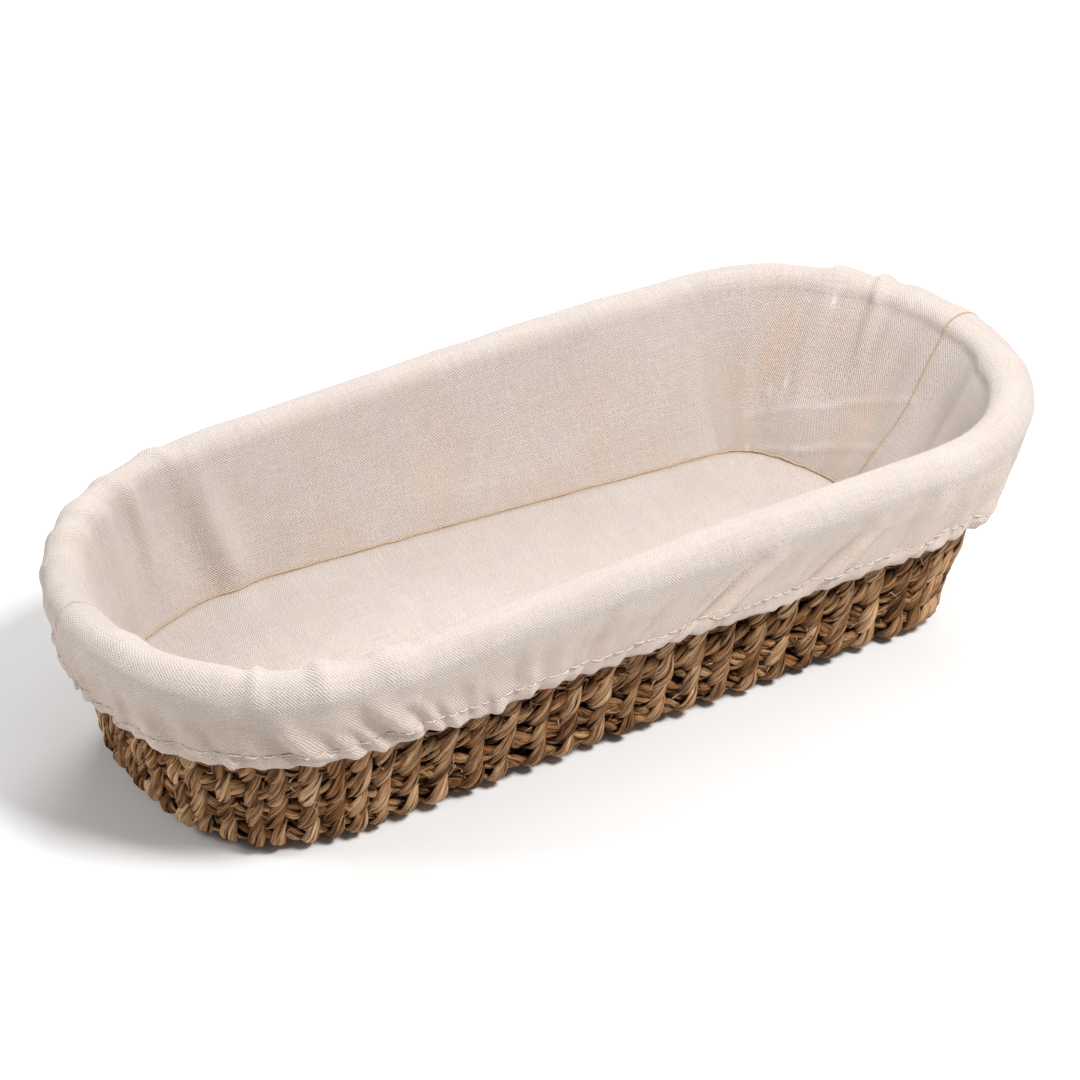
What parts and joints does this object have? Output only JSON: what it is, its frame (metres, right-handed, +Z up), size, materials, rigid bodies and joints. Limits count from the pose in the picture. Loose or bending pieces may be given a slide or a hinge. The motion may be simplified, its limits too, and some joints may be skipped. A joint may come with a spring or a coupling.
{
  "type": "banneton basket",
  "caption": "Oblong proofing basket of twined sedge coils with a lift-out cloth liner; the liner's elastic cuff folds over the braided rim.",
  "frame": {"origin": "centre of the underside, on the surface that the basket stands on", "axes": "+X along the long side, +Y across, +Z up out of the opening"},
  "size_m": [0.3508, 0.1538, 0.0774],
  "materials": {
    "straw": "dry twisted sedge, matt, with paler and darker strands",
    "straw_twine": "twined sedge leaf, satin where it is rubbed",
    "cloth": "unbleached plain-weave cotton and linen",
    "elastic": "flat woven elastic",
    "thread": "sewing thread"
  },
  "bodies": {
    "basket": {"base_core": "straw", "base_coil_1": "straw", "base_coil_2": "straw", "base_coil_3": "straw", "base_coil_4": "straw", "base_coil_5": "straw", "wall_coil_1": "straw", "wall_coil_2": "straw", "wall_coil_3": "straw", "wall_coil_4": "straw", "wall_coil_5": "straw", "wall_coil_6": "straw", "rim_border": "straw_twine", "twining_under": "straw_twine", "twining_over": "straw_twine", "twining_front": "straw_twine", "twining_back": "straw_twine", "twining_left": "straw_twine", "twining_right": "straw_twine"},
    "liner": {"liner_floor": "cloth", "liner_wall_front": "cloth", "liner_wall_back": "cloth", "liner_cuff_front": "cloth", "liner_cuff_back": "cloth", "hem_casing": "cloth", "hem_elastic": "elastic", "hem_stitching": "thread", "floor_seam": "thread", "end_seam_left": "cloth", "end_seam_right": "cloth"}
  },
  "joints": [
    {"name": "liner_lift", "type": "slide", "parent": "basket", "child": "liner", "axis": [0, 0, 1], "range_m": [0, 0.1], "deforming": ["liner_cuff_front", "liner_cuff_back", "hem_casing", "hem_elastic", "hem_stitching"]}
  ]
}
